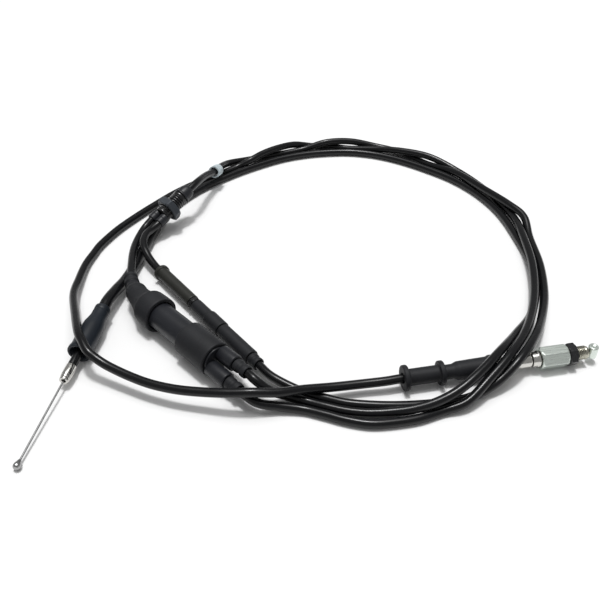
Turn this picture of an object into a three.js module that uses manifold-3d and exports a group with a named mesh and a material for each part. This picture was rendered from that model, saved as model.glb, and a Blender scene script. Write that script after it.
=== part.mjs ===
// A coiled throttle cable of a motorcycle or moped: a twist-grip end, a carburettor end, a junction
// box, an in-line adjuster and a threaded bulkhead bushing, joined by plastic-covered conduits.
// Millimetres, +Z up, origin on the floor at the middle of the loop.
import * as THREE from "three";
import { mergeVertices } from "three/addons/utils/BufferGeometryUtils.js";
import Module from "manifold-3d";

const wasm = await Module();
wasm.setup();

// ---- driving dimensions ----
const CONDUIT_R = 2.7; // 5.4 mm plastic-covered conduit
const SLEEVE_R = 3.7; // 7.4 mm outer sleeve on the carburettor conduit
const WIRE_R = 0.6; // 1.2 mm inner wire
const CONDUIT_BORE = 3.1; // a hole that a conduit sits in
const WIRE_BORE = 1.3; // a hole that an inner wire runs in
const GAP = 0.4; // the gap between faces that meet

const ROUND = 16; // sides of a turned piece
const CONDUIT_SIDES = 8;

// Where each fitting lies: a point on its axis and the direction of the axis.
const GRIP_END = { at: [45.9, -110.9, 7.7], along: [0.981, 0.193, 0] };
const CARB_END = { at: [-134.2, -52, 9.4], along: [-0.184, -0.983, -0.0575] };
const JUNCTION = { at: [-77.5, -81.5, 11.7], along: [0.695, -0.719, 0] };
const INLINE = { at: [-104.8, -10.4, 6.2], along: [0.618, -0.786, 0] };
const BULKHEAD = { at: [-112, 45, 13.5], along: [0.63, 0.709, 0.318] };
const BAND = { at: [-78.2, 108, 14], along: [8.3, 28.7, -8.7] }; // a point of the adjuster's conduit

const TURNED_LENGTH = 115.6; // from the grommet's face to the middle of the barrel nipple
const UPPER_OUTLET = { x: 4.2, y: 2.8 }; // from the junction's axis, sideways and up
const LOWER_OUTLET = { x: -4.6, y: -2.7 };
const BOSS_OFFSET = 3.8; // the bulkhead's two link bosses lie side by side

// ---- conduit routes, chosen by hand ----
const GRIP_ROUTE = [
  [89.1, -102.4, 7.7], [67.5, -106.65, 7.7], [45.9, -110.9, 7.7], [36, -112.85, 7.4],
  [22, -114.7, 7], [6, -117.6, 7.6], [-9, -121.4, 9.8], [-23, -126.4, 12.6], [-37.1, -128.5, 14.8],
  [-50.6, -128.1, 14], [-65, -126, 12.5], [-79.7, -123.1, 11.5], [-94.2, -118.5, 11],
  [-107.3, -112.5, 11.2], [-119.5, -106.3, 12.5], [-126.8, -102.3, 14.5], [-132.6, -98.3, 17],
  [-136.9, -91.6, 18.5], [-141.2, -83.1, 18.2], [-148, -63.5, 14], [-156.4, -36.5, 8],
  [-158, -17.7, 5], [-157.8, 0.7, 3.5], [-155.4, 14.2, 2.9], [-152.2, 26.1, 2.9],
  [-143.8, 44.3, 2.9], [-132.6, 62, 2.9], [-121.2, 77.8, 2.9], [-109, 93.5, 2.9],
  [-94, 108.5, 2.9], [-78, 121.5, 2.9], [-64, 131.5, 3.8], [-53, 136.4, 7.6], [-43, 145.7, 8.7],
  [-31, 154.7, 8.8], [-18, 163.9, 6.8], [-4, 168.3, 3.2], [11, 168, 2.9], [28.5, 164, 2.9],
  [49, 159.5, 4.9], [70.5, 151, 7.9], [92.8, 140.6, 8], [115, 123.8, 3.4], [130.3, 98.2, 3.4],
  [140.8, 69, 4.6], [144.2, 51, 6.2], [144, 32, 8.4], [143.5, 0, 8.3], [139, -29, 7.8],
  [131, -55.5, 9.5], [120.5, -79.5, 13.4], [107.5, -100, 15.8], [93.5, -115, 11.5], [80.1, -126.9, 5.8],
  [66.7, -131, 2.9], [53, -136.5, 2.9], [39, -139.4, 2.9], [26, -140.3, 2.9], [13.5, -137.7, 2.9],
  [1.9, -133.6, 2.9], [-9.6, -130, 2.9], [-22.2, -129, 4.3], [-35, -128.8, 7], [-46, -120.6, 9],
  [-55.8, -110.5, 9],
];
const CARB_ROUTE = [
  [-135.85, -60.85, 8.9], [-134.2, -52, 9.4], [-132.7, -44.1, 9.8], [-130, -32, 8],
  [-127.2, -18, 5], [-124, -1, 4], [-120.7, 20, 3.9], [-116.9, 42, 3.8], [-112.5, 61.5, 2.9],
  [-105.5, 77.5, 2.9], [-97, 91, 2.9], [-87, 103, 2.9], [-74.5, 115, 2.9], [-60, 127, 2.9],
  [-44, 138, 2.9], [-27.5, 147.5, 2.9], [-9.5, 154, 2.9], [9.5, 157.4, 2.9], [29, 158, 2.9],
  [49.4, 153.6, 2.9], [69, 144.4, 2.9], [89.4, 130.4, 2.9], [109.2, 113, 2.9], [125.3, 90.6, 2.9],
  [136.1, 65, 2.9], [141.8, 35.3, 2.9], [144.7, 5.5, 2.9], [142, -23, 2.9], [133, -50, 3.2],
  [117, -75.5, 9.4], [102, -98, 16.6], [88, -114, 15.8], [75, -124.4, 12.2], [62.4, -130, 8.7],
  [49.8, -132.4, 5.9], [37.2, -133, 4.2], [25, -132.8, 3.3], [13.4, -130.9, 2.9],
  [2.3, -127.6, 2.9], [-8, -124, 2.9], [-19.5, -121.4, 4.8], [-28.5, -121.4, 9],
  [-36.3, -118.2, 13.7], [-41.1, -113.1, 14.5], [-52.2, -101.6, 14.5],
];
const ADJUSTER_ROUTE = [
  [-98.2, 60.6, 20.5], [-93.1, 66.3, 23], [-88.2, 75.2, 23.8], [-83.9, 91.8, 19.5],
  [-78.2, 108, 14], [-75.6, 120.5, 10.8], [-70, 134, 6.3], [-55, 145.5, 2.9], [-40, 151.5, 2.9], [-25, 156.5, 2.9],
  [-10, 161, 4], [9, 165, 8.4], [29.5, 168, 7.6], [50, 166.4, 4], [71, 157.5, 2.9],
  [91, 138, 2.9], [110.4, 118.6, 6.3], [126.5, 91.5, 8.7], [141.6, 65.3, 10.5], [149.6, 51, 9],
  [150.2, 32, 4.4], [150.8, 2, 2.9], [146.5, -28.5, 2.9], [138, -55.5, 6.5], [127.5, -79.5, 12.5],
  [115, -99.4, 14.8], [100.5, -112.5, 8.2], [84.5, -120.2, 2.9], [67, -124.8, 2.9], [51, -126.8, 2.9],
  [37, -127.2, 2.9], [24.5, -126.6, 2.9], [13.5, -125.1, 2.9], [3, -121.8, 2.9], [-7.5, -118, 2.9],
  [-19, -113, 4.5], [-29.4, -106.3, 6], [-36.8, -96.9, 6.2], [-43, -89, 6.2],
];
const JUNCTION_LINK_ROUTE = [
  [-118.8, -32.3, 11.7], [-120.6, -27.9, 11.7], [-122.1, -21.5, 11.5], [-124.2, -6.5, 10.7],
  [-125.6, 5, 9.7], [-126.1, 16.3, 8.6], [-125.3, 27.4, 8], [-122.9, 37, 8.8],
  [-118.3, 43.6, 11.8], [-111.8, 50.9, 15],
];
const ADJUSTER_LINK_ROUTE = [
  [-98.6, -18.3, 6.2], [-104.8, -10.4, 6.2], [-109.5, -4.5, 6.6], [-114.3, 2.2, 8.2],
  [-118, 9, 10.4], [-120.2, 16.5, 11.3], [-119.9, 25.5, 11.2], [-117.6, 32, 10.6],
  [-112.6, 38.6, 11.8], [-106.1, 45.9, 15],
];

// ---- materials ----
const material = (color, roughness, metalness) =>
  new THREE.MeshStandardMaterial({ color, roughness, metalness });
const BLACK_PVC = material(0x1b1c1f, 0.32, 0);
const OLIVE_SLEEVE = material(0x33342f, 0.6, 0);
const RUBBER = material(0x2c2e32, 0.72, 0);
const BLUE_RUBBER = material(0x252b33, 0.66, 0);
const BLACK_PLASTIC = material(0x303237, 0.4, 0);
const BLACK_STEEL = material(0x17181a, 0.35, 0.6);
const NUT_STEEL = material(0x42464d, 0.4, 0.7);
const NICKEL = material(0xc9c5bb, 0.22, 1);
const ZINC = material(0xc5cdc6, 0.32, 1);
const STUB_STEEL = material(0x8f8d7c, 0.35, 1);
const WIRE_STEEL = material(0x9fa3a5, 0.35, 1);
const PALE_BAND = material(0xb9c4c8, 0.45, 0);

// ---- helpers ----
const root = new THREE.Group();

// A group whose local +Z runs along a fitting's axis, with local +Y up.
function fittingGroup({ at, along }) {
  const z = new THREE.Vector3(...along).normalize();
  const x = new THREE.Vector3(0, 0, 1).cross(z).normalize();
  const y = z.clone().cross(x);
  const group = new THREE.Group();
  group.position.set(...at);
  group.quaternion.setFromRotationMatrix(new THREE.Matrix4().makeBasis(x, y, z));
  root.add(group);
  return group;
}

function addMesh(parent, name, geometry, look) {
  const mesh = new THREE.Mesh(geometry, look);
  mesh.name = name;
  parent.add(mesh);
  return mesh;
}

// A turned piece about local +Z. The profile is a list of [radius, distance along the axis].
function turned(profile, sides = ROUND) {
  const points = profile.map(([r, s]) => new THREE.Vector2(r, s));
  return new THREE.LatheGeometry(points, sides).rotateX(Math.PI / 2);
}

// A turned ring: its outer profile, and a plain or stepped bore given as [radius, distance] going back.
function ring(outer, bore, sides = ROUND) {
  return turned([...outer, ...bore, outer[0]], sides);
}

function plainRing(outerR, boreR, from, to, sides = ROUND) {
  return ring([[outerR, from], [outerR, to]], [[boreR, to], [boreR, from]], sides);
}

function rod(r, from, to, sides = ROUND) {
  return turned([[0, from], [r, from], [r, to], [0, to]], sides);
}

// A hexagonal nut or sleeve about local +Z.
function hexNut(acrossFlats, boreR, from, to) {
  const cornerR = acrossFlats / Math.sqrt(3);
  const shape = new THREE.Shape();
  for (let i = 0; i < 6; i++) {
    const a = (i * Math.PI) / 3;
    const x = cornerR * Math.cos(a);
    const y = cornerR * Math.sin(a);
    if (i === 0) shape.moveTo(x, y);
    else shape.lineTo(x, y);
  }
  shape.closePath();
  const bore = new THREE.Path();
  bore.absarc(0, 0, boreR, 0, 2 * Math.PI, true);
  shape.holes.push(bore);
  const options = { depth: to - from, bevelEnabled: false, curveSegments: ROUND };
  return new THREE.ExtrudeGeometry(shape, options).translate(0, 0, from);
}

const toSolid = (geometry) => {
  const bare = geometry.clone();
  bare.deleteAttribute("normal");
  bare.deleteAttribute("uv");
  const merged = mergeVertices(bare, 1e-3);
  return new wasm.Manifold(
    new wasm.Mesh({
      numProp: 3,
      vertProperties: merged.attributes.position.array,
      triVerts: new Uint32Array(merged.index.array),
    }),
  );
};

const toGeometry = (solid) => {
  const mesh = solid.getMesh();
  return new THREE.BufferGeometry()
    .setAttribute("position", new THREE.BufferAttribute(mesh.vertProperties, 3))
    .setIndex(new THREE.BufferAttribute(mesh.triVerts, 1));
};

const curveThrough = (points) =>
  new THREE.CatmullRomCurve3(
    points.map((p) => new THREE.Vector3(...p)),
    false,
    "catmullrom",
    0.5,
  );

// A stretch of a longer curve, between two fractions of its length.
class Stretch extends THREE.Curve {
  constructor(curve, from, to) {
    super();
    Object.assign(this, { curve, from, to });
  }
  getPoint(t, target = new THREE.Vector3()) {
    return this.curve.getPointAt(this.from + (this.to - this.from) * t, target);
  }
}

function polygon(r, sides) {
  return Array.from({ length: sides }, (_, i) => {
    const a = (2 * Math.PI * i) / sides;
    return new THREE.Vector2(r * Math.cos(a), r * Math.sin(a));
  });
}

function tube(path, r, steps, sides = CONDUIT_SIDES, boreR = 0) {
  const shape = new THREE.Shape(polygon(r, sides));
  if (boreR) shape.holes.push(new THREE.Path(polygon(boreR, sides).reverse()));
  return new THREE.ExtrudeGeometry(shape, { steps, extrudePath: path });
}

// ---- conduits ----
const carbCurve = curveThrough(CARB_ROUTE);
const conduits = [
  ["grip_conduit", curveThrough(GRIP_ROUTE), 100, BLACK_PVC],
  ["carb_conduit", carbCurve, 76, BLACK_PVC],
  ["adjuster_conduit", curveThrough(ADJUSTER_ROUTE), 70, BLACK_PVC],
  ["junction_link_conduit", curveThrough(JUNCTION_LINK_ROUTE), 18, BLACK_PVC],
  ["adjuster_link_conduit", curveThrough(ADJUSTER_LINK_ROUTE), 16, BLACK_PVC],
];
for (const [name, curve, steps, look] of conduits) {
  addMesh(root, name, tube(curve, CONDUIT_R, steps), look);
}

const SLEEVE_SPAN = [0.002, 0.132]; // of the carburettor conduit's length
const sleevePath = new Stretch(carbCurve, ...SLEEVE_SPAN);
addMesh(root, "carb_conduit_sleeve", tube(sleevePath, SLEEVE_R, 14, 12, CONDUIT_BORE), BLACK_PVC);

// ---- marker band ----
const BAND_R = 4.6;
const BAND_HALF_LENGTH = 4.2;
const BAND_BORE = 3.4; // the tape spans a slight bend of the conduit
const band = plainRing(BAND_R, BAND_BORE, -BAND_HALF_LENGTH, BAND_HALF_LENGTH);
addMesh(fittingGroup(BAND), "cable_band", band, PALE_BAND);

// ---- twist-grip end ----
{
  const end = fittingGroup(GRIP_END);
  const grommet = ring(
    [[7.5, 0], [7.5, 3], [4.9, 3.5], [4.9, 20.7], [7.15, 21.2], [7.15, 24]],
    [[CONDUIT_BORE, 24], [CONDUIT_BORE, 0]],
  );
  addMesh(end, "spool_grommet", grommet, RUBBER);
  const boot = ring(
    [[4.3, 24.4], [4.3, 29.5], [5.5, 32.5], [5.7, 50], [6.4, 52], [6.4, 54.2]],
    [[4.7, 54.2], [4.7, 37], [CONDUIT_BORE, 36.3], [CONDUIT_BORE, 24.4]],
  );
  addMesh(end, "grip_boot", boot, RUBBER);
  const guide = ring(
    [[4.25, 37.4], [4.25, 75.8], [3.9, 76.6]],
    [[WIRE_BORE, 76.6], [WIRE_BORE, 44.8], [CONDUIT_BORE, 44.5], [CONDUIT_BORE, 37.4]],
  );
  addMesh(end, "guide_tube", guide, NICKEL);
  const ferrule = ring(
    [[4.5, 77], [4.5, 79.8], [4.9, 80.2], [4.9, 81.6]],
    [[WIRE_BORE, 81.6], [WIRE_BORE, 77]],
  );
  addMesh(end, "guide_ferrule", ferrule, NICKEL);
  addMesh(end, "adjuster_sleeve", hexNut(12, 4.5, 82, 98.7), ZINC);
  addMesh(end, "adjuster_locknut", hexNut(12, 4.5, 99.1, 104.1), BLACK_STEEL);
  addMesh(end, "threaded_stub", plainRing(4.1, WIRE_BORE, 84, 111.5), STUB_STEEL);
  const nippleR = 3;
  const nippleHeight = 8;
  const wireEnd = TURNED_LENGTH - nippleR - GAP;
  addMesh(end, "grip_inner_wire", rod(WIRE_R, 45.5, wireEnd, 8), WIRE_STEEL);
  const nipple = new THREE.CylinderGeometry(nippleR, nippleR, nippleHeight, ROUND);
  addMesh(end, "grip_barrel_nipple", nipple.translate(0, 0, TURNED_LENGTH), ZINC);
}

// ---- carburettor end ----
{
  const end = fittingGroup(CARB_END);
  const boot = ring(
    [[5, 0], [5, 9], [5.6, 11.5], [6.5, 16], [6.7, 30], [6.5, 34], [7, 36], [7.1, 39]],
    [[5.6, 39], [CONDUIT_BORE, 33], [CONDUIT_BORE, 15], [4, 14.5], [4, 0]],
  );
  addMesh(end, "carb_boot", boot, BLUE_RUBBER);
  addMesh(end, "carb_liner", plainRing(CONDUIT_R, WIRE_BORE, 34, 48.6), BLACK_PVC);
  const ferrule = ring(
    [[3.15, 49], [3.15, 57], [2.7, 60.5]],
    [[WIRE_BORE, 60.5], [WIRE_BORE, 49]],
  );
  addMesh(end, "carb_ferrule", ferrule, NICKEL);
  addMesh(end, "carb_inner_wire", rod(WIRE_R, 35, 114.5, 8), WIRE_STEEL);
  const nipple = turned([
    [0, 114.9], [1.1, 114.9], [1.3, 115.8], [1.9, 117.4], [2.1, 118.6], [1.6, 120], [0, 120.4],
  ]);
  addMesh(end, "carb_nipple", nipple, ZINC);
}

// ---- junction box ----
{
  const box = fittingGroup(JUNCTION);
  addMesh(box, "junction_body", plainRing(8.5, 7, -34, 19.7, 20), BLACK_PLASTIC);
  addMesh(box, "junction_sleeve", plainRing(10.7, 8.9, 0, 25.5, 20), RUBBER);

  // The rubber cap's neck bends sideways, from where its own taper starts.
  const cap = ring(
    [
      [4.6, -73], [4.6, -70.6], [4, -70], [4, -68.6], [4.7, -68], [4.7, -65.6], [4.2, -65],
      [6.7, -58], [7.2, -50], [8.4, -45], [11.2, -40], [11.5, -33], [11.5, -27.6],
    ],
    [[8.9, -27.6], [8.9, -36], ...[-40, -56, -62, -68, -73].map((s) => [CONDUIT_BORE, s])],
    20,
  );
  const bendStart = -40;
  const bendRate = 0.0078; // sideways per square millimetre
  const places = cap.attributes.position;
  for (let i = 0; i < places.count; i++) {
    const past = Math.min(0, places.getZ(i) - bendStart);
    const turn = Math.atan(2 * bendRate * -past);
    const x = places.getX(i);
    places.setX(i, x * Math.cos(turn) + bendRate * past * past);
    places.setZ(i, places.getZ(i) + x * Math.sin(turn));
  }
  addMesh(box, "junction_cap", cap, RUBBER);

  // The end plug: a disc with two outlet tubes, bored for a conduit outside and a wire inside.
  const outlets = [
    { ...UPPER_OUTLET, r: 5, end: 38.5, name: "upper" },
    { ...LOWER_OUTLET, r: 4.9, end: 41.5, name: "lower" },
  ];
  let plug = toSolid(rod(8.5, 20.1, 26.4, 20));
  for (const { x, y, r, end } of outlets) {
    plug = plug.add(toSolid(rod(r, 26, end).translate(x, y, 0)));
  }
  for (const { x, y, end } of outlets) {
    plug = plug.subtract(toSolid(rod(CONDUIT_BORE, 31, end + 1).translate(x, y, 0)));
    plug = plug.subtract(toSolid(rod(WIRE_BORE, 19, 32).translate(x, y, 0)));
  }
  addMesh(box, "junction_end_plug", toGeometry(plug), BLACK_PLASTIC);

  for (const { x, y, end, name } of outlets) {
    const s = end + GAP;
    const seal = ring(
      [[3.9, s], [3.9, s + 3.6], [3.4, s + 4.2], [3.4, s + 5.4], [3.9, s + 6], [3.9, s + 9.5]],
      [[CONDUIT_BORE, s + 9.5], [CONDUIT_BORE, s]],
    );
    addMesh(box, "outlet_seal_" + name, seal.translate(x, y, 0), RUBBER);
    addMesh(box, "junction_wire_" + name, rod(WIRE_R, 8.4, 29, 8).translate(x, y, 0), WIRE_STEEL);
  }
  addMesh(box, "junction_slider", rod(6.6, -2, 8, 16), BLACK_PLASTIC);
}

// ---- in-line adjuster ----
{
  const adjuster = fittingGroup(INLINE);
  const sleeve = ring(
    [[5.3, 0], [5.3, 2.6], [4.35, 3], [4.35, 40]],
    [[3.5, 40], [3.5, 10.8], [CONDUIT_BORE, 10.4], [CONDUIT_BORE, 0]],
  );
  addMesh(adjuster, "inline_sleeve", sleeve, OLIVE_SLEEVE);
  addMesh(adjuster, "inline_barrel", plainRing(3.1, WIRE_BORE, 11.4, 62), BLACK_STEEL);
  addMesh(adjuster, "inline_locknut", hexNut(8, 3.5, 40.4, 43.6), BLACK_STEEL);
  const collar = ring(
    [[4.2, 44], [4.2, 58.8], [5, 59.4], [5, 73.6]],
    [[3.5, 73.6], [3.5, 44]],
  );
  addMesh(adjuster, "inline_collar", collar, RUBBER);
  const boot = ring(
    [[4.5, 74], [4.7, 100], [4.7, 104.6]],
    [[CONDUIT_BORE, 104.6], [CONDUIT_BORE, 74]],
  );
  addMesh(adjuster, "inline_boot", boot, RUBBER);
  const endRing = ring(
    [[3.9, 105], [3.9, 107.6], [3.4, 108.2], [3.4, 109.2], [3.8, 109.8], [3.8, 112]],
    [[CONDUIT_BORE, 112], [CONDUIT_BORE, 105]],
  );
  addMesh(adjuster, "inline_end_ring", endRing, RUBBER);
}

// ---- bulkhead bushing ----
{
  const bushing = fittingGroup(BULKHEAD);
  let body = toSolid(rod(6, 1.6, 21, 20));
  for (const side of [1, -1]) {
    body = body.subtract(toSolid(rod(CONDUIT_BORE, 0, 5.4).translate(side * BOSS_OFFSET, 0, 0)));
  }
  addMesh(bushing, "bulkhead_body", toGeometry(body), BLACK_STEEL);
  addMesh(bushing, "bulkhead_nut", hexNut(17, 6.35, 6, 11.7), NUT_STEEL);
  const cap = ring(
    [[6.1, 21.4], [6.1, 22.6], [5.5, 23.4], [5.2, 27], [4.2, 30]],
    [[CONDUIT_BORE, 30], [CONDUIT_BORE, 21.4]],
  );
  addMesh(bushing, "bulkhead_cap", cap, BLACK_PLASTIC);
  for (const [name, side] of [["left", 1], ["right", -1]]) {
    const boss = plainRing(3.6, CONDUIT_BORE, -5.5, 1.2).translate(side * BOSS_OFFSET, 0, 0);
    addMesh(bushing, "link_boss_" + name, boss, BLACK_PLASTIC);
  }
}

export default root;
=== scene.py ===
"""The looks of a coiled throttle cable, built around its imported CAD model. Metres, +Z up.

Routes and profiles are written in millimetres, as on a drawing, and turned into metres by MM.
"""

import math

import bmesh
import bpy
from mathutils import Matrix, Vector


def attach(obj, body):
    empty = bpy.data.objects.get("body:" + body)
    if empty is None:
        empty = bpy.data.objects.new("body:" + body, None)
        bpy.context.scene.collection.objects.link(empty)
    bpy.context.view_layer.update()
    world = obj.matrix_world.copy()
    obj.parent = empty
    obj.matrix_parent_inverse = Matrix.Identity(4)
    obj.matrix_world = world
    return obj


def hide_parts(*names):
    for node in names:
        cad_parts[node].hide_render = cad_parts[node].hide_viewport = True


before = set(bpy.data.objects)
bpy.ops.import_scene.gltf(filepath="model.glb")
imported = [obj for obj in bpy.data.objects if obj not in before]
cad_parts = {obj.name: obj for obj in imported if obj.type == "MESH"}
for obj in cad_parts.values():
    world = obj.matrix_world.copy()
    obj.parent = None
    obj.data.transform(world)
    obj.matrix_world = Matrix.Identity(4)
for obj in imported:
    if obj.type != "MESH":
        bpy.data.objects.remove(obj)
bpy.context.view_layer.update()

MM = 0.001

# ---- driving dimensions, in millimetres ----
CONDUIT_R = 2.7
SLEEVE_R = 3.7
WIRE_R = 0.6
CONDUIT_BORE = 3.1
WIRE_BORE = 1.3
GAP = 0.4
TURNED_LENGTH = 115.6
UPPER_OUTLET = (4.2, 2.8)
LOWER_OUTLET = (-4.6, -2.7)
BOSS_OFFSET = 3.8

# ---- the camera ----
CAMERA_PLACE = Vector((-9, -414, 316)) * MM
CAMERA_PITCH = math.radians(40)
CAMERA_LENS = 45.1
camera_data = bpy.data.cameras.new("camera")
camera_data.lens = CAMERA_LENS
camera_data.sensor_width = 36
camera = bpy.data.objects.new("camera", camera_data)
camera.location = CAMERA_PLACE
camera.rotation_euler = (math.pi / 2 - CAMERA_PITCH, 0, 0)
bpy.context.scene.collection.objects.link(camera)
bpy.context.scene.camera = camera


# ---- materials ----
DUST_COLOR = (0.3, 0.3, 0.31, 1)
DUST_SCALE = 1400
COAT_ROUGHNESS = 0.12
RELIEF_STRENGTH = 0.6


def shade(color, amount):
    """A colour made lighter or darker, as RGBA."""
    return [min(1.0, c * amount) for c in color] + [1.0]


def look(name, color, roughness, metallic=0.0, specular=0.5, mottle=0.2, patch=70, grain=2500,
         stretch=(1, 1, 1), bump=0.00003, spread=0.08, dust=0.0, coat=0.0):
    """A procedural surface: blotches of colour, fine grain in height and gloss, and a little dust."""
    made = bpy.data.materials.new(name)
    made.use_nodes = True
    nodes = made.node_tree.nodes
    wire = made.node_tree.links.new
    shader = nodes["Principled BSDF"]
    shader.inputs["Metallic"].default_value = metallic
    shader.inputs["Specular IOR Level"].default_value = specular
    shader.inputs["Coat Weight"].default_value = coat
    shader.inputs["Coat Roughness"].default_value = COAT_ROUGHNESS

    place = nodes.new("ShaderNodeTexCoord")
    mapping = nodes.new("ShaderNodeMapping")
    mapping.inputs["Scale"].default_value = stretch
    wire(place.outputs["Object"], mapping.inputs["Vector"])

    blotches = nodes.new("ShaderNodeTexNoise")
    blotches.inputs["Scale"].default_value = patch
    blotches.inputs["Detail"].default_value = 5
    wire(place.outputs["Object"], blotches.inputs["Vector"])
    fine = nodes.new("ShaderNodeTexNoise")
    fine.inputs["Scale"].default_value = grain
    fine.inputs["Detail"].default_value = 3
    wire(mapping.outputs["Vector"], fine.inputs["Vector"])

    tones = nodes.new("ShaderNodeValToRGB")
    tones.color_ramp.elements[0].position = 0.3
    tones.color_ramp.elements[0].color = shade(color, 1 - mottle)
    tones.color_ramp.elements[1].position = 0.7
    tones.color_ramp.elements[1].color = shade(color, 1 + mottle)
    wire(blotches.outputs["Fac"], tones.inputs["Fac"])
    color_out = tones.outputs["Color"]

    if dust:
        specks = nodes.new("ShaderNodeTexNoise")
        specks.inputs["Scale"].default_value = DUST_SCALE
        specks.inputs["Detail"].default_value = 2
        wire(place.outputs["Object"], specks.inputs["Vector"])
        pick = nodes.new("ShaderNodeMapRange")
        pick.inputs["From Min"].default_value = 0.66
        pick.inputs["From Max"].default_value = 0.8
        pick.inputs["To Max"].default_value = dust
        wire(specks.outputs["Fac"], pick.inputs["Value"])
        dusty = nodes.new("ShaderNodeMix")
        dusty.data_type = "RGBA"
        wire(pick.outputs["Result"], dusty.inputs["Factor"])
        wire(color_out, dusty.inputs["A"])
        dusty.inputs["B"].default_value = DUST_COLOR
        color_out = dusty.outputs["Result"]
    wire(color_out, shader.inputs["Base Color"])

    gloss = nodes.new("ShaderNodeMapRange")
    gloss.inputs["From Min"].default_value = 0.3
    gloss.inputs["From Max"].default_value = 0.7
    gloss.inputs["To Min"].default_value = max(0.03, roughness - spread)
    gloss.inputs["To Max"].default_value = roughness + spread
    wire(fine.outputs["Fac"], gloss.inputs["Value"])
    wire(gloss.outputs["Result"], shader.inputs["Roughness"])

    relief = nodes.new("ShaderNodeBump")
    relief.inputs["Strength"].default_value = RELIEF_STRENGTH
    relief.inputs["Distance"].default_value = bump
    wire(fine.outputs["Fac"], relief.inputs["Height"])
    wire(relief.outputs["Normal"], shader.inputs["Normal"])
    return made


ALONG = (1, 1, 0.04)  # grain drawn out along the axis, as on bar stock
AROUND = (0.05, 0.05, 1)  # grain as lathe marks round the axis
LOOKS = {
    "conduit": look("black_pvc", (0.0045, 0.0047, 0.0055), 0.25, specular=0.3, mottle=0.2, patch=40,
                    grain=900, bump=0.000006, spread=0.03, dust=0.015),
    "olive_sleeve": look("olive_sleeve", (0.022, 0.0225, 0.019), 0.46, specular=0.3, mottle=0.18,
                         grain=1800, bump=0.00002, dust=0.04),
    "rubber": look("black_rubber", (0.0125, 0.0132, 0.0155), 0.6, specular=0.28, mottle=0.22,
                   grain=2600, bump=0.00004, dust=0.09),
    "blue_rubber": look("blue_black_rubber", (0.0085, 0.0125, 0.0185), 0.46, specular=0.32, mottle=0.28,
                        grain=2200, bump=0.00004, dust=0.07),
    "black_plastic": look("black_plastic", (0.0130, 0.0140, 0.0175), 0.4, specular=0.34, mottle=0.15,
                          grain=3000, bump=0.00002, dust=0.04),
    "black_steel": look("black_steel", (0.012, 0.012, 0.013), 0.28, metallic=0.2, mottle=0.25,
                        grain=2000, stretch=AROUND, bump=0.000015, coat=0.3),
    "nut_steel": look("blue_grey_steel", (0.045, 0.052, 0.062), 0.42, metallic=0.35, mottle=0.25,
                      grain=1700, bump=0.00004, dust=0.05),
    "nickel": look("nickel_plate", (0.62, 0.61, 0.58), 0.15, metallic=1, mottle=0.08,
                   grain=2400, stretch=AROUND, bump=0.00001),
    "zinc": look("zinc_plate", (0.70, 0.76, 0.71), 0.3, metallic=0.85, mottle=0.06,
                 grain=1500, stretch=ALONG, bump=0.000004),
    "stub_steel": look("plated_thread", (0.46, 0.45, 0.38), 0.26, metallic=1, mottle=0.2,
                       grain=2200, bump=0.00002),
    "wire_steel": look("steel_strand", (0.34, 0.34, 0.34), 0.28, metallic=1, mottle=0.2,
                       grain=3000, bump=0.00001),
    "pale_band": look("pale_tape", (0.46, 0.53, 0.56), 0.4, mottle=0.16, patch=160,
                      grain=1500, bump=0.00004),
}

# ---- where each fitting lies, as in the CAD: a point on its axis and the direction of the axis ----
FITTINGS = {
    "world": None,
    "grip": ((45.9, -110.9, 7.7), (0.981, 0.193, 0)),
    "carb": ((-134.2, -52, 9.4), (-0.184, -0.983, -0.0575)),
    "junction": ((-77.5, -81.5, 11.7), (0.695, -0.719, 0)),
    "inline": ((-104.8, -10.4, 6.2), (0.618, -0.786, 0)),
    "bulkhead": ((-112, 45, 13.5), (0.63, 0.709, 0.318)),
    "band": ((-78.2, 108, 14), (8.3, 28.7, -8.7)),
}


def placement(fitting):
    """The matrix whose +Z runs along a fitting's axis, with +Y up."""
    if FITTINGS[fitting] is None:
        return Matrix.Identity(4)
    at, along = FITTINGS[fitting]
    z = Vector(along).normalized()
    x = Vector((0, 0, 1)).cross(z).normalized()
    y = z.cross(x)
    turn = Matrix((x, y, z)).transposed().to_4x4()
    return Matrix.Translation(Vector(at) * MM) @ turn


def piece(name, data, fitting, slot, body, nodes):
    """Puts a new piece where its fitting lies, in place of the CAD nodes that it stands for."""
    made = bpy.data.objects.new(name, data)
    bpy.context.scene.collection.objects.link(made)
    made.matrix_world = placement(fitting)
    data.materials.append(LOOKS[slot])
    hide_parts(*nodes)
    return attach(made, body)


# ---- turned pieces ----
TINY = 1e-6  # closer than this counts as on the axis, or as no edge at all
STRAIGHT = 0.25  # a corner that turns by less, in radians, is left as it is
SHARP_ANGLE = math.radians(38)


def eased(profile, radius, steps=3):
    """A profile with its corners rounded."""
    out = []
    count = len(profile)
    for i, point in enumerate(profile):
        corner = Vector(point)
        back = Vector(profile[i - 1]) - corner
        on = Vector(profile[(i + 1) % count]) - corner
        on_axis = corner.x < TINY
        if on_axis or back.length < TINY or on.length < TINY or back.angle(-on) < STRAIGHT:
            out.append(corner)
            continue
        start = corner + back.normalized() * min(radius, back.length * 0.45)
        end = corner + on.normalized() * min(radius, on.length * 0.45)
        for k in range(steps + 1):
            t = k / steps
            out.append(start * (1 - t) ** 2 + corner * 2 * t * (1 - t) + end * t ** 2)
    return out


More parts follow.
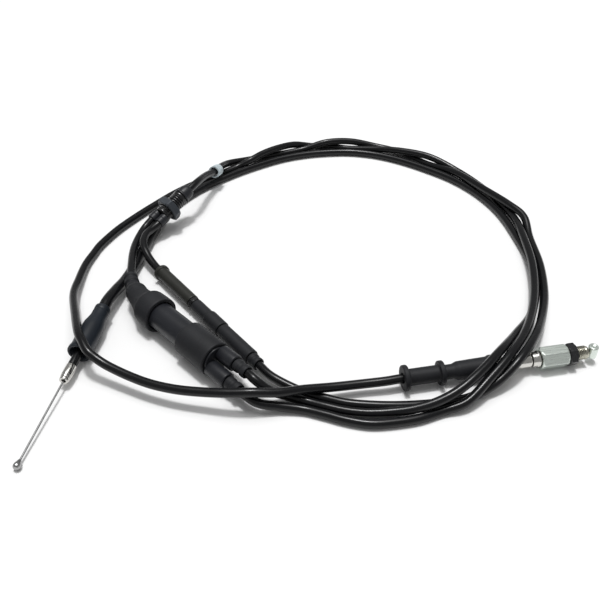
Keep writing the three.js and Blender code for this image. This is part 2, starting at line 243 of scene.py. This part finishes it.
def turned(name, profile, sides=64, ease=0.3, reshape=None, warp=None, offset=(0, 0)):
    """A mesh turned about +Z from an outline of (radius, distance along the axis).

    An outline with no point on the axis closes on itself, as a ring does. reshape(angle, r, s)
    gives a new radius, and warp(point) moves a finished point.
    """
    outline = eased(profile, ease)
    rings = []
    bm = bmesh.new()
    for r, s in outline:
        corners = []
        for k in range(sides if r > TINY else 1):
            a = 2 * math.pi * k / sides
            radius = reshape(a, r, s) if reshape and r > TINY else r
            point = Vector((radius * math.cos(a) + offset[0], radius * math.sin(a) + offset[1], s))
            corners.append(bm.verts.new((warp(point) if warp else point) * MM))
        rings.append(corners)
    closed = all(len(ring) > 1 for ring in rings)
    for i in range(len(rings) - (0 if closed else 1)):
        low, high = rings[i], rings[(i + 1) % len(rings)]
        for k in range(sides):
            m = (k + 1) % sides
            loop = [low[k % len(low)], low[m % len(low)], high[m % len(high)], high[k % len(high)]]
            loop = list(dict.fromkeys(loop))
            if len(loop) > 2:
                bm.faces.new(loop)
    bmesh.ops.recalc_face_normals(bm, faces=bm.faces)
    mesh = bpy.data.meshes.new(name)
    bm.to_mesh(mesh)
    bm.free()
    mesh.shade_smooth()
    mesh.set_sharp_from_angle(angle=SHARP_ANGLE)
    return mesh


def ring(outer, bore):
    """The outline of a ring: its outside, then its bore going back."""
    return [*outer, *bore]


def plain_ring(outer_r, bore_r, low, high):
    return [(outer_r, low), (outer_r, high), (bore_r, high), (bore_r, low)]


def hexagon(across_flats):
    """reshape for a nut: no point lies further out than the hexagon's flats."""
    def limit(angle, r, s):
        from_flat = (angle % (math.pi / 3)) - math.pi / 6
        return min(r, across_flats / 2 / math.cos(from_flat))
    return limit


def nut(across_flats, bore_r, low, high, chamfer=0.7):
    """The outline of a nut with its corners chamfered at both faces. It needs hexagon() too."""
    corner_r = across_flats / math.sqrt(3) * 0.99
    face_r = across_flats / 2 * 0.97
    return [(face_r, low), (corner_r, low + chamfer), (corner_r, high - chamfer), (face_r, high),
            (bore_r + 0.35, high), (bore_r, high - 0.35), (bore_r, low + 0.35), (bore_r + 0.35, low)]


def thread(major, depth, pitch, low, high):
    """reshape for a threaded stretch, which fades out over one turn at each end."""
    def cut(angle, r, s):
        if r < major - depth - 0.3 or not low < s < high:
            return r
        phase = (s / pitch - angle / (2 * math.pi)) % 1
        groove = 1 - abs(2 * phase - 1)
        fade = min(1, (s - low) / pitch, (high - s) / pitch)
        return r - depth * fade * min(1, 1.35 * groove)
    return cut


def stations(r, low, high, step):
    """Points along a plain cylinder, close enough together to carry a thread or a twist."""
    count = max(2, round((high - low) / step))
    return [(r, low + (high - low) * k / count) for k in range(count + 1)]


def strand(lay=8.0, lobes=8):
    """reshape for a twisted wire rope."""
    def twist(angle, r, s):
        return r * (0.84 + 0.16 * abs(math.cos(lobes / 2 * (angle + 2 * math.pi * s / lay))))
    return twist


# ---- conduits ----
# The routes are those of the CAD solids, in millimetres.
GRIP_ROUTE = [
    (89.1, -102.4, 7.7), (67.5, -106.65, 7.7), (45.9, -110.9, 7.7), (36, -112.85, 7.4),
    (22, -114.7, 7), (6, -117.6, 7.6), (-9, -121.4, 9.8), (-23, -126.4, 12.6), (-37.1, -128.5, 14.8),
    (-50.6, -128.1, 14), (-65, -126, 12.5), (-79.7, -123.1, 11.5), (-94.2, -118.5, 11),
    (-107.3, -112.5, 11.2), (-119.5, -106.3, 12.5), (-126.8, -102.3, 14.5), (-132.6, -98.3, 17),
    (-136.9, -91.6, 18.5), (-141.2, -83.1, 18.2), (-148, -63.5, 14), (-156.4, -36.5, 8),
    (-158, -17.7, 5), (-157.8, 0.7, 3.5), (-155.4, 14.2, 2.9), (-152.2, 26.1, 2.9),
    (-143.8, 44.3, 2.9), (-132.6, 62, 2.9), (-121.2, 77.8, 2.9), (-109, 93.5, 2.9),
    (-94, 108.5, 2.9), (-78, 121.5, 2.9), (-64, 131.5, 3.8), (-53, 136.4, 7.6), (-43, 145.7, 8.7),
    (-31, 154.7, 8.8), (-18, 163.9, 6.8), (-4, 168.3, 3.2), (11, 168, 2.9), (28.5, 164, 2.9),
    (49, 159.5, 4.9), (70.5, 151, 7.9), (92.8, 140.6, 8), (115, 123.8, 3.4), (130.3, 98.2, 3.4),
    (140.8, 69, 4.6), (144.2, 51, 6.2), (144, 32, 8.4), (143.5, 0, 8.3), (139, -29, 7.8),
    (131, -55.5, 9.5), (120.5, -79.5, 13.4), (107.5, -100, 15.8), (93.5, -115, 11.5), (80.1, -126.9, 5.8),
    (66.7, -131, 2.9), (53, -136.5, 2.9), (39, -139.4, 2.9), (26, -140.3, 2.9), (13.5, -137.7, 2.9),
    (1.9, -133.6, 2.9), (-9.6, -130, 2.9), (-22.2, -129, 4.3), (-35, -128.8, 7), (-46, -120.6, 9),
    (-55.8, -110.5, 9),
]
CARB_ROUTE = [
    (-135.85, -60.85, 8.9), (-134.2, -52, 9.4), (-132.7, -44.1, 9.8), (-130, -32, 8),
    (-127.2, -18, 5), (-124, -1, 4), (-120.7, 20, 3.9), (-116.9, 42, 3.8), (-112.5, 61.5, 2.9),
    (-105.5, 77.5, 2.9), (-97, 91, 2.9), (-87, 103, 2.9), (-74.5, 115, 2.9), (-60, 127, 2.9),
    (-44, 138, 2.9), (-27.5, 147.5, 2.9), (-9.5, 154, 2.9), (9.5, 157.4, 2.9), (29, 158, 2.9),
    (49.4, 153.6, 2.9), (69, 144.4, 2.9), (89.4, 130.4, 2.9), (109.2, 113, 2.9), (125.3, 90.6, 2.9),
    (136.1, 65, 2.9), (141.8, 35.3, 2.9), (144.7, 5.5, 2.9), (142, -23, 2.9), (133, -50, 3.2),
    (117, -75.5, 9.4), (102, -98, 16.6), (88, -114, 15.8), (75, -124.4, 12.2), (62.4, -130, 8.7),
    (49.8, -132.4, 5.9), (37.2, -133, 4.2), (25, -132.8, 3.3), (13.4, -130.9, 2.9),
    (2.3, -127.6, 2.9), (-8, -124, 2.9), (-19.5, -121.4, 4.8), (-28.5, -121.4, 9),
    (-36.3, -118.2, 13.7), (-41.1, -113.1, 14.5), (-52.2, -101.6, 14.5),
]
ADJUSTER_ROUTE = [
    (-98.2, 60.6, 20.5), (-93.1, 66.3, 23), (-88.2, 75.2, 23.8), (-83.9, 91.8, 19.5),
    (-78.2, 108, 14), (-75.6, 120.5, 10.8), (-70, 134, 6.3), (-55, 145.5, 2.9), (-40, 151.5, 2.9),
    (-25, 156.5, 2.9),
    (-10, 161, 4), (9, 165, 8.4), (29.5, 168, 7.6), (50, 166.4, 4), (71, 157.5, 2.9),
    (91, 138, 2.9), (110.4, 118.6, 6.3), (126.5, 91.5, 8.7), (141.6, 65.3, 10.5), (149.6, 51, 9),
    (150.2, 32, 4.4), (150.8, 2, 2.9), (146.5, -28.5, 2.9), (138, -55.5, 6.5), (127.5, -79.5, 12.5),
    (115, -99.4, 14.8), (100.5, -112.5, 8.2), (84.5, -120.2, 2.9), (67, -124.8, 2.9), (51, -126.8, 2.9),
    (37, -127.2, 2.9), (24.5, -126.6, 2.9), (13.5, -125.1, 2.9), (3, -121.8, 2.9), (-7.5, -118, 2.9),
    (-19, -113, 4.5), (-29.4, -106.3, 6), (-36.8, -96.9, 6.2), (-43, -89, 6.2),
]
JUNCTION_LINK_ROUTE = [
    (-118.8, -32.3, 11.7), (-120.6, -27.9, 11.7), (-122.1, -21.5, 11.5), (-124.2, -6.5, 10.7),
    (-125.6, 5, 9.7), (-126.1, 16.3, 8.6), (-125.3, 27.4, 8), (-122.9, 37, 8.8),
    (-118.3, 43.6, 11.8), (-111.8, 50.9, 15),
]
ADJUSTER_LINK_ROUTE = [
    (-98.6, -18.3, 6.2), (-104.8, -10.4, 6.2), (-109.5, -4.5, 6.6), (-114.3, 2.2, 8.2),
    (-118, 9, 10.4), (-120.2, 16.5, 11.3), (-119.9, 25.5, 11.2), (-117.6, 32, 10.6),
    (-112.6, 38.6, 11.8), (-106.1, 45.9, 15),
]
PER_SPAN = 12  # steps between two route points
ROUND_STEPS = 6  # Blender's bevel resolution for every round section


def handles(points):
    """The lean of a smooth curve at each point: a third of it is how far a Bezier handle reaches."""
    leans = []
    last = len(points) - 1
    for i in range(last + 1):
        if i in (0, last):
            first, second = (points[0], points[1]) if i == 0 else (points[last - 1], points[last])
            leans.append((second - first) / 3)
        else:
            leans.append((points[i + 1] - points[i - 1]) / 6)
    return leans


def round_curve(name, r):
    """A curve object's data with a round section and no spline yet."""
    data = bpy.data.curves.new(name, "CURVE")
    data.dimensions = "3D"
    data.bevel_depth = r * MM
    data.bevel_resolution = ROUND_STEPS
    data.use_fill_caps = True
    return data


def conduit_curve(name, route):
    """A conduit: one open spline through the route."""
    points = [Vector(p) * MM for p in route]
    leans = handles(points)
    data = round_curve(name, CONDUIT_R)
    data.resolution_u = PER_SPAN
    spline = data.splines.new("BEZIER")
    spline.bezier_points.add(len(points) - 1)
    for knot, point, lean in zip(spline.bezier_points, points, leans):
        knot.handle_left_type = knot.handle_right_type = "FREE"
        knot.co = point
        knot.handle_left = point - lean
        knot.handle_right = point + lean
    return data


def walked(route):
    """Points close together along the smooth curve through a route, in metres."""
    points = [Vector(p) * MM for p in route]
    leans = handles(points)
    out = [points[0]]
    for i in range(len(points) - 1):
        a, d = points[i], points[i + 1]
        b, c = a + leans[i], d - leans[i + 1]
        for k in range(1, PER_SPAN + 1):
            t = k / PER_SPAN
            out.append(a * (1 - t) ** 3 + b * 3 * t * (1 - t) ** 2 + c * 3 * t ** 2 * (1 - t) + d * t ** 3)
    return out


def length_of(points):
    return sum((b - a).length for a, b in zip(points, points[1:]))


CONDUITS = [
    ("grip_conduit", GRIP_ROUTE),
    ("carb_conduit", CARB_ROUTE),
    ("adjuster_conduit", ADJUSTER_ROUTE),
    ("junction_link_conduit", JUNCTION_LINK_ROUTE),
    ("adjuster_link_conduit", ADJUSTER_LINK_ROUTE),
]
for node, route in CONDUITS:
    cord = piece(node + "_cord", conduit_curve(node + "_cord", route), "world", "conduit", "cable", [node])

# The outer sleeve over the first stretch of the carburettor conduit.
SLEEVE_FROM, SLEEVE_TO = 0.002, 0.132  # as fractions of the conduit's length
walk = walked(CARB_ROUTE)
total = length_of(walk)
sleeve_points = []
gone = 0.0
for a, b in zip(walk, walk[1:]):
    gone += (b - a).length
    if SLEEVE_FROM <= gone / total <= SLEEVE_TO:
        sleeve_points.append(b)
sleeve_data = round_curve("carb_sleeve", SLEEVE_R)
sleeve_spline = sleeve_data.splines.new("POLY")
sleeve_spline.points.add(len(sleeve_points) - 1)
for knot, point in zip(sleeve_spline.points, sleeve_points):
    knot.co = (*point, 1)
sleeve_spline.use_smooth = True
piece("carb_sleeve", sleeve_data, "world", "conduit", "cable", ["carb_conduit_sleeve"])

# ---- marker band: tape wrapped round the adjuster's conduit ----
BAND_R = 4.6
BAND_HALF = 4.2
BAND_BORE = 3.4
TAPE_STEP = 0.22


def lapped(angle, r, s):
    """The tape's end lies on its first turn, as a low step."""
    return r - TAPE_STEP * (angle / (2 * math.pi)) if r > BAND_BORE + 0.1 else r


piece("band_tape", turned("band_tape", plain_ring(BAND_R, BAND_BORE, -BAND_HALF, BAND_HALF),
                          ease=0.15, reshape=lapped), "band", "pale_band", "cable", ["cable_band"])

WIRE_STEP = 0.4  # between the rings of points that carry a wire's twist

# ---- twist-grip end ----
SPOOL = ring(
    [(7.1, 0), (7.5, 0.5), (7.5, 2.5), (7.1, 3), (5.4, 3.1), (4.9, 3.8), (4.9, 20.4), (5.4, 21.1),
     (6.9, 21.2), (7.15, 21.6), (7.15, 23.6), (6.8, 24)],
    [(CONDUIT_BORE, 24), (CONDUIT_BORE, 0.6), (3.5, 0)],
)
piece("spool_grommet_fine", turned("spool_grommet_fine", SPOOL), "grip", "rubber", "cable",
      ["spool_grommet"])
GRIP_BOOT = ring(
    [(4.3, 24.4), (4.3, 29.5), (5.4, 32.3), (5.55, 40), (5.7, 50), (6.3, 51.4), (6.4, 52),
     (6.4, 53.8), (6.1, 54.2)],
    [(4.9, 54.2), (4.7, 53.6), (4.7, 37), (CONDUIT_BORE, 36.3), (CONDUIT_BORE, 24.4)],
)
piece("grip_boot_fine", turned("grip_boot_fine", GRIP_BOOT, ease=0.5), "grip", "rubber", "cable",
      ["grip_boot"])
GUIDE = ring(
    [(4.1, 37.4), (4.25, 37.7), (4.25, 68.4), (4.12, 68.6), (4.12, 68.9), (4.25, 69.1), (4.25, 75.8),
     (3.9, 76.6)],
    [(WIRE_BORE, 76.6), (WIRE_BORE, 44.8), (CONDUIT_BORE, 44.5), (CONDUIT_BORE, 37.4)],
)
piece("guide_tube_fine", turned("guide_tube_fine", GUIDE, ease=0.15), "grip", "nickel", "cable",
      ["guide_tube"])
GUIDE_FERRULE = ring(
    [(4.3, 77), (4.5, 77.2), (4.5, 79.7), (4.9, 80.2), (4.9, 81.3), (4.7, 81.6)],
    [(WIRE_BORE, 81.6), (WIRE_BORE, 77)],
)
piece("guide_ferrule_fine", turned("guide_ferrule_fine", GUIDE_FERRULE, ease=0.15), "grip", "nickel",
      "cable", ["guide_ferrule"])
GRIP_HEX = 12  # across flats, for the sleeve and its locknut
piece("hex_sleeve_fine", turned("hex_sleeve_fine", nut(GRIP_HEX, 4.5, 82, 98.7, chamfer=1.1), sides=96,
                                ease=0.2, reshape=hexagon(GRIP_HEX)),
      "grip", "zinc", "hex_sleeve", ["adjuster_sleeve"])
piece("hex_locknut_fine", turned("hex_locknut_fine", nut(GRIP_HEX, 4.5, 99.1, 104.1), sides=96,
                                 ease=0.2, reshape=hexagon(GRIP_HEX)),
      "grip", "black_steel", "hex_locknut", ["adjuster_locknut"])
STUB_R, STUB_PITCH, STUB_DEPTH = 4.1, 1.0, 0.42
STUB_LOW, STUB_HIGH = 84.3, 110.2
STUB = [(3.7, 84), *stations(STUB_R, STUB_LOW, STUB_HIGH, STUB_PITCH / 8), (3.7, 111.5),
        (WIRE_BORE + 0.5, 111.5), (WIRE_BORE, 111), (WIRE_BORE, 84)]
piece("threaded_stub_fine", turned("threaded_stub_fine", STUB, sides=56, ease=0.1,
                                   reshape=thread(STUB_R, STUB_DEPTH, STUB_PITCH, STUB_LOW, STUB_HIGH)),
      "grip", "stub_steel", "cable", ["threaded_stub"])
NIPPLE_R, NIPPLE_HEIGHT = 3, 8
WIRE_START, WIRE_END = 45.5, TURNED_LENGTH - NIPPLE_R - GAP
GRIP_WIRE = [(0, WIRE_START), *stations(WIRE_R, WIRE_START, WIRE_END, WIRE_STEP), (0, WIRE_END)]
piece("grip_wire_fine", turned("grip_wire_fine", GRIP_WIRE, sides=48, ease=0, reshape=strand()),
      "grip", "wire_steel", "grip_pull", ["grip_inner_wire"])
HALF_NIPPLE = NIPPLE_HEIGHT / 2
BARREL = [(0, -HALF_NIPPLE + 0.25), (1.3, -HALF_NIPPLE + 0.1), (1.7, -HALF_NIPPLE),
          (NIPPLE_R - 0.5, -HALF_NIPPLE), (NIPPLE_R, -HALF_NIPPLE + 0.5), (NIPPLE_R, HALF_NIPPLE - 0.5),
          (NIPPLE_R - 0.5, HALF_NIPPLE), (1.7, HALF_NIPPLE), (1.3, HALF_NIPPLE - 0.4), (0, HALF_NIPPLE - 0.6)]


def stood_up(point):
    """Turns a piece made about the fitting's axis so that it stands across it."""
    return Vector((point.x, point.z, TURNED_LENGTH - point.y))


piece("barrel_nipple_fine", turned("barrel_nipple_fine", BARREL, ease=0.2, warp=stood_up), "grip", "zinc",
      "grip_pull", ["grip_barrel_nipple"])

# ---- carburettor end ----
CARB_BOOT = ring(
    [(4.6, 0), (5, 0.5), (5, 3), (4.8, 3.4), (4.8, 4.1), (5, 4.5), (5, 8.6), (5.5, 11.3),
     (6.4, 15.6), (6.6, 19), (6.7, 29), (6.5, 34), (6.7, 35.2), (7, 36.4), (7.1, 38.2), (6.8, 39)],
    [(5.6, 39), (CONDUIT_BORE, 33), (CONDUIT_BORE, 15), (4, 14.5), (4, 0)],
)
piece("carb_boot_fine", turned("carb_boot_fine", CARB_BOOT, ease=0.6), "carb", "blue_rubber",
      "carb_boot_skin", ["carb_boot"])
piece("carb_liner_fine", turned("carb_liner_fine", plain_ring(CONDUIT_R, WIRE_BORE, 34, 48.6)), "carb",
      "conduit", "cable", ["carb_liner"])
CARB_FERRULE = ring(
    [(3.0, 49), (3.15, 49.3), (3.15, 56.4), (2.95, 56.7), (2.95, 57.2), (3.08, 57.5), (2.9, 58.4),
     (2.7, 58.7), (2.8, 59.2), (2.7, 60.3), (2.5, 60.5)],
    [(WIRE_BORE + 0.3, 60.5), (WIRE_BORE, 60.2), (WIRE_BORE, 49)],
)
piece("carb_ferrule_fine", turned("carb_ferrule_fine", CARB_FERRULE, ease=0.12), "carb", "nickel", "cable",
      ["carb_ferrule"])
CARB_WIRE_START, CARB_WIRE_END = 35, 114.5
CARB_WIRE = [(0, CARB_WIRE_START), *stations(WIRE_R, CARB_WIRE_START, CARB_WIRE_END, WIRE_STEP),
             (0, CARB_WIRE_END)]
piece("carb_wire_fine", turned("carb_wire_fine", CARB_WIRE, sides=48, ease=0, reshape=strand()),
      "carb", "wire_steel", "carb_pull", ["carb_inner_wire"])
PEAR = [(0, 114.9), (1.0, 114.9), (1.1, 115.3), (1.3, 115.9), (1.7, 116.8), (2.0, 117.6), (2.1, 118.5),
        (1.95, 119.3), (1.5, 120), (0.8, 120.35), (0, 120.4)]
piece("carb_nipple_fine", turned("carb_nipple_fine", PEAR, ease=0.1), "carb", "wire_steel", "carb_pull",
      ["carb_nipple"])

# ---- junction box ----
BODY = ring(
    [(8.1, -34), (8.5, -33.6), (8.5, 19.3), (8.2, 19.7)],
    [(7, 19.7), (7, -34)],
)
piece("junction_body_fine", turned("junction_body_fine", BODY, sides=80), "junction", "black_plastic",
      "cable", ["junction_body"])
BIG_SLEEVE = ring(
    [(10.2, 0), (10.7, 0.5), (10.7, 25), (10.2, 25.5)],
    [(9.1, 25.5), (8.9, 25.2), (8.9, 0.3), (9.1, 0)],
)
piece("junction_sleeve_fine", turned("junction_sleeve_fine", BIG_SLEEVE, sides=96, ease=0.5), "junction",
      "rubber", "cable", ["junction_sleeve"])
CAP = ring(
    [(4.4, -73), (4.7, -72.6), (4.7, -70.9), (3.9, -70.4), (3.8, -69), (4.7, -68.4), (4.8, -67.8),
     (4.8, -66), (4.0, -65.4), (4.1, -64.4), (5.3, -61.6), (5.2, -61.1), (6.2, -59), (6.7, -58),
     (6.85, -55), (6.75, -54.6), (7.1, -51), (7.3, -49.5), (8.4, -45), (9.8, -42), (11.0, -40.2),
     (11.3, -38.5), (11.5, -33), (11.5, -28.1), (11.1, -27.6)],
    [(9.4, -27.6), (8.9, -28.2), (8.9, -36), *[(CONDUIT_BORE, s) for s in (-40, -56, -62, -68, -73)]],
)
BEND_START = -40
BEND_RATE = 0.0078  # sideways per square millimetre


def bent(point):
    """The cap's neck leans sideways from where its taper starts."""
    past = min(0, point.z - BEND_START)
    turn = math.atan(2 * BEND_RATE * -past)
    return Vector((point.x * math.cos(turn) + BEND_RATE * past * past, point.y,
                   point.z + point.x * math.sin(turn)))


piece("junction_cap_fine", turned("junction_cap_fine", CAP, sides=96, ease=0.45, warp=bent), "junction",
      "rubber", "cable", ["junction_cap"])

# The end plug: a disc, then two outlet tubes that each take a rubber seal.
plug_parts = [turned("plug_disc", [(0, 20.1), (8.3, 20.1), (8.5, 20.4), (8.5, 26), (8.2, 26.4), (0, 26.4)],
                     sides=80)]
for (x, y), r, end in ((UPPER_OUTLET, 5, 38.5), (LOWER_OUTLET, 4.9, 41.5)):
    outlet = ring([(r, 26.1), (r, end - 0.5), (r - 0.5, end)],
                  [(3.4, end), (CONDUIT_BORE, end - 0.4), (CONDUIT_BORE, 31), (WIRE_BORE, 30.6),
                   (WIRE_BORE, 26.1)])
    plug_parts.append(turned("plug_outlet", outlet, offset=(x, y)))
piece("end_plug_fine", plug_parts[0], "junction", "black_plastic", "cable", ["junction_end_plug"])
for part_mesh, side in zip(plug_parts[1:], ("upper", "lower")):
    tube = bpy.data.objects.new("plug_outlet_" + side, part_mesh)
    bpy.context.scene.collection.objects.link(tube)
    part_mesh.materials.append(LOOKS["black_plastic"])
    tube.matrix_world = placement("junction")
    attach(tube, "cable")
for (x, y), end, side in ((UPPER_OUTLET, 38.5, "upper"), (LOWER_OUTLET, 41.5, "lower")):
    s = end + GAP
    seal = ring(
        [(3.7, s), (3.9, s + 0.3), (3.9, s + 3.2), (3.45, s + 3.9), (3.4, s + 5.6), (3.85, s + 6.2),
         (3.9, s + 6.5), (3.9, s + 9.1), (3.6, s + 9.5)],
        [(CONDUIT_BORE, s + 9.5), (CONDUIT_BORE, s)],
    )
    piece("outlet_seal_fine_" + side, turned("outlet_seal_" + side, seal, offset=(x, y)), "junction",
          "rubber", "cable", ["outlet_seal_" + side])

# ---- in-line adjuster ----
INLINE_SLEEVE = ring(
    [(5.0, 0), (5.3, 0.3), (5.3, 2.4), (5.0, 2.7), (4.5, 2.9), (4.35, 3.3), (4.35, 39.6), (4.1, 40)],
    [(3.5, 40), (3.5, 10.8), (CONDUIT_BORE, 10.4), (CONDUIT_BORE, 0)],
)
piece("inline_sleeve_fine", turned("inline_sleeve_fine", INLINE_SLEEVE), "inline", "olive_sleeve", "cable",
      ["inline_sleeve"])
INLINE_BARREL_R, INLINE_PITCH, INLINE_DEPTH = 3.1, 1.0, 0.38
INLINE_HEX = 8  # across flats
INLINE_BARREL = [*stations(INLINE_BARREL_R, 11.4, 62, 0.13), (WIRE_BORE, 62), (WIRE_BORE, 11.4)]
piece("inline_barrel_fine", turned("inline_barrel_fine", INLINE_BARREL, sides=48, ease=0.1,
                                   reshape=thread(INLINE_BARREL_R, INLINE_DEPTH, INLINE_PITCH, 12, 61.5)),
      "inline", "black_steel", "cable", ["inline_barrel"])
piece("inline_nut_fine", turned("inline_nut_fine", nut(INLINE_HEX, 3.5, 40.4, 43.6, chamfer=0.5), sides=96,
                                ease=0.15, reshape=hexagon(INLINE_HEX)),
      "inline", "black_steel", "inline_nut", ["inline_locknut"])
COLLAR = ring(
    [(3.9, 44), (4.2, 44.4), (4.2, 58.6), (4.85, 59.2), (5, 59.6), (5, 73.2), (4.7, 73.6)],
    [(3.5, 73.6), (3.5, 44)],
)
piece("inline_collar_fine", turned("inline_collar_fine", COLLAR), "inline", "rubber", "cable",
      ["inline_collar"])
INLINE_BOOT = ring(
    [(4.3, 74), (4.5, 74.4), (4.55, 84), (4.65, 100), (4.7, 104.2), (4.4, 104.6)],
    [(CONDUIT_BORE, 104.6), (CONDUIT_BORE, 74)],
)
piece("inline_boot_fine", turned("inline_boot_fine", INLINE_BOOT), "inline", "rubber", "cable",
      ["inline_boot"])
END_RING = ring(
    [(3.7, 105), (3.9, 105.3), (3.9, 107.4), (3.4, 108.1), (3.4, 109.3), (3.8, 109.9), (3.8, 111.7),
     (3.5, 112)],
    [(CONDUIT_BORE, 112), (CONDUIT_BORE, 105)],
)
piece("inline_end_ring_fine", turned("inline_end_ring_fine", END_RING), "inline", "rubber", "cable",
      ["inline_end_ring"])

# ---- bulkhead bushing ----
BUSHING_R, BUSHING_PITCH, BUSHING_DEPTH = 6, 1.75, 0.8
BUSHING = [(0, 1.6), (5.5, 1.6), (6, 2.1), *stations(BUSHING_R, 2.6, 20, BUSHING_PITCH / 8), (6, 20.6),
           (5.6, 21), (0, 21)]
piece("bulkhead_body_fine", turned("bulkhead_body_fine", BUSHING, sides=72, ease=0.1,
                                   reshape=thread(BUSHING_R, BUSHING_DEPTH, BUSHING_PITCH, 2.6, 20)),
      "bulkhead", "black_steel", "cable", ["bulkhead_body"])
BULKHEAD_HEX = 17  # across flats
piece("bulkhead_nut_fine", turned("bulkhead_nut_fine", nut(BULKHEAD_HEX, 6.35, 6, 11.7, chamfer=1.1),
                                  sides=96, ease=0.4, reshape=hexagon(BULKHEAD_HEX)),
      "bulkhead", "nut_steel", "panel_nut", ["bulkhead_nut"])
BUSHING_CAP = ring(
    [(5.8, 21.4), (6.1, 21.7), (6.1, 22.5), (5.6, 23.1), (5.5, 24.5), (5.3, 26.4), (4.9, 28.2), (4.2, 29.5),
     (3.8, 30)],
    [(CONDUIT_BORE, 30), (CONDUIT_BORE, 21.4)],
)
piece("bulkhead_cap_fine", turned("bulkhead_cap_fine", BUSHING_CAP), "bulkhead", "black_plastic", "cable",
      ["bulkhead_cap"])
BOSS = ring(
    [(3.4, -5.5), (3.6, -5.2), (3.6, -2.2), (3.45, -2), (3.45, -1.5), (3.6, -1.3), (3.6, 1.2)],
    [(CONDUIT_BORE, 1.2), (CONDUIT_BORE, -5.5)],
)
for side, sign in (("left", 1), ("right", -1)):
    piece("link_boss_fine_" + side, turned("link_boss_" + side, BOSS, offset=(sign * BOSS_OFFSET, 0)),
          "bulkhead", "black_plastic", "cable", ["link_boss_" + side])

# ---- CAD nodes that stay: the sealed inner pieces of the junction box ----
for node, slot in (("junction_slider", "black_plastic"), ("junction_wire_upper", "wire_steel"),
                   ("junction_wire_lower", "wire_steel")):
    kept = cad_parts[node]
    kept.data.materials.clear()
    kept.data.materials.append(LOOKS[slot])

# ---- floor, world and lights ----
FLOOR_SIZE = 6.0
floor_mesh = bpy.data.meshes.new("floor")
HALF_FLOOR = FLOOR_SIZE / 2
floor_mesh.from_pydata([(-HALF_FLOOR, -HALF_FLOOR, 0), (HALF_FLOOR, -HALF_FLOOR, 0),
                        (HALF_FLOOR, HALF_FLOOR, 0), (-HALF_FLOOR, HALF_FLOOR, 0)], [], [(0, 1, 2, 3)])
floor = bpy.data.objects.new("floor", floor_mesh)
bpy.context.scene.collection.objects.link(floor)
floor_mesh.materials.append(look("white_floor", (0.9, 0.9, 0.9), 0.75, specular=0.2, mottle=0.01,
                                 patch=6, grain=400, bump=0.000005))

WORLD_STRENGTH = 0.32
world = bpy.data.worlds.new("studio")
world.use_nodes = True
background = world.node_tree.nodes["Background"]
background.inputs["Color"].default_value = (1, 1, 1, 1)
background.inputs["Strength"].default_value = WORLD_STRENGTH
bpy.context.scene.world = world
bpy.context.scene.view_settings.view_transform = "Standard"


def sun(name, azimuth, elevation, strength, softness):
    """A far lamp, in degrees. Azimuth 0 shines from +Y, behind the object, and 90 from +X."""
    data = bpy.data.lights.new(name, "SUN")
    data.energy = strength
    data.angle = math.radians(softness)
    lamp = bpy.data.objects.new(name, data)
    a, e = math.radians(azimuth), math.radians(elevation)
    towards = Vector((math.sin(a) * math.cos(e), math.cos(a) * math.cos(e), math.sin(e)))
    lamp.rotation_mode = "QUATERNION"
    lamp.rotation_quaternion = towards.to_track_quat("Z", "Y")
    bpy.context.scene.collection.objects.link(lamp)


sun("key", azimuth=-4, elevation=81, strength=1.75, softness=9)

OVERHEAD_SIZE, OVERHEAD_POWER = 2.0, 27
OVERHEAD_PLACE = (0, 0.4, 2.6)
overhead_data = bpy.data.lights.new("overhead", "AREA")
overhead_data.size = OVERHEAD_SIZE
overhead_data.energy = OVERHEAD_POWER
overhead = bpy.data.objects.new("overhead", overhead_data)
overhead.location = OVERHEAD_PLACE
bpy.context.scene.collection.objects.link(overhead)
